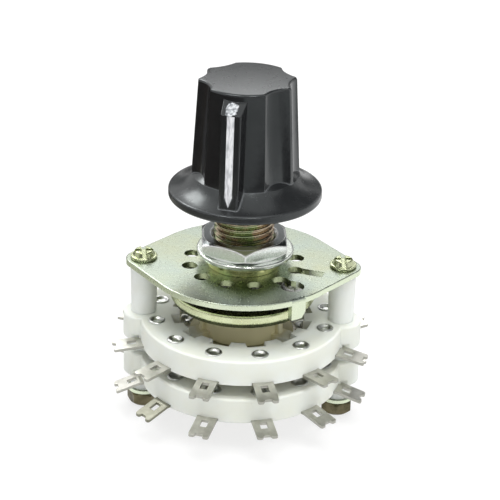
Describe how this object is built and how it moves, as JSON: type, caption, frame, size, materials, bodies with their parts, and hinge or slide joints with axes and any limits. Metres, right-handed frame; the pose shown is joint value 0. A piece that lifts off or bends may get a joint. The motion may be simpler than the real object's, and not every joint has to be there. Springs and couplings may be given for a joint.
{
  "type": "rotary wafer switch",
  "caption": "Panel-mount rotary wafer switch with a fluted pointer knob, threaded bushing, ball detent and stacked contact decks with soldering tails.",
  "frame": {"origin": "on the shaft axis, at the face of the bushing's collar, where the panel seats", "axes": "+Z along the shaft, from the panel seat towards the knob; X through the two ears and tie screws; the picture looks from the -Y side"},
  "size_m": [0.0433, 0.0434, 0.0602],
  "materials": {
    "knob_plastic": "glossy black thermoset moulding, satin flat top",
    "pointer_paint": "silver-white filling paint",
    "insert_brass": "turned brass",
    "bare_steel": "plain machined steel",
    "nickel_plate": "bright nickel plating",
    "bronzed_steel": "dark bronze-brown passivated steel",
    "yellow_zinc": "pale yellow-green chromated zinc on steel",
    "silvered_blade": "silver-plated copper alloy",
    "tinned_contact": "matt tin plating",
    "white_moulding": "satin white moulding"
  },
  "bodies": {
    "frame": {"bushing": "yellow_zinc", "left_lower_spacer": "white_moulding", "left_middle_spacer": "white_moulding", "left_tie_nut": "bronzed_steel", "left_tie_screw": "yellow_zinc", "left_tie_washer": "yellow_zinc", "left_upper_spacer": "white_moulding", "lower_common": "tinned_contact", "lower_contact_springs": "tinned_contact", "lower_eyelets": "tinned_contact", "lower_stator": "white_moulding", "lower_terminal_01": "tinned_contact", "lower_terminal_02": "tinned_contact", "lower_terminal_04": "tinned_contact", "lower_terminal_05": "tinned_contact", "lower_terminal_06": "tinned_contact", "lower_terminal_07": "tinned_contact", "lower_terminal_08": "tinned_contact", "lower_terminal_09": "tinned_contact", "lower_terminal_10": "tinned_contact", "lower_terminal_11": "tinned_contact", "lower_terminal_12": "tinned_contact", "mounting_plate": "yellow_zinc", "panel_nut": "nickel_plate", "panel_washer": "nickel_plate", "right_lower_spacer": "white_moulding", "right_middle_spacer": "white_moulding", "right_tie_nut": "bronzed_steel", "right_tie_screw": "yellow_zinc", "right_tie_washer": "yellow_zinc", "right_upper_spacer": "white_moulding", "upper_common": "tinned_contact", "upper_contact_springs": "tinned_contact", "upper_eyelets": "tinned_contact", "upper_stator": "white_moulding", "upper_terminal_01": "tinned_contact", "upper_terminal_02": "tinned_contact", "upper_terminal_04": "tinned_contact", "upper_terminal_05": "tinned_contact", "upper_terminal_06": "tinned_contact", "upper_terminal_07": "tinned_contact", "upper_terminal_08": "tinned_contact", "upper_terminal_09": "tinned_contact", "upper_terminal_10": "tinned_contact", "upper_terminal_11": "tinned_contact", "upper_terminal_12": "tinned_contact"},
    "rotor": {"knob": "knob_plastic", "pointer_line": "pointer_paint", "knob_insert": "insert_brass", "grub_screw": "bare_steel", "shaft": "bare_steel", "shaft_clip": "bare_steel", "drive_blade": "bare_steel", "detent_disc": "yellow_zinc", "detent_spring": "bare_steel", "detent_balls": "bare_steel", "upper_rotor": "white_moulding", "upper_rotor_blade": "silvered_blade", "lower_rotor": "white_moulding", "lower_rotor_blade": "silvered_blade"}
  },
  "joints": [
    {"name": "selector_turn", "type": "hinge", "parent": "frame", "child": "rotor", "pos_m": [0, 0, 0], "axis": [0, 0, 1], "range_deg": [-150, 150]}
  ]
}
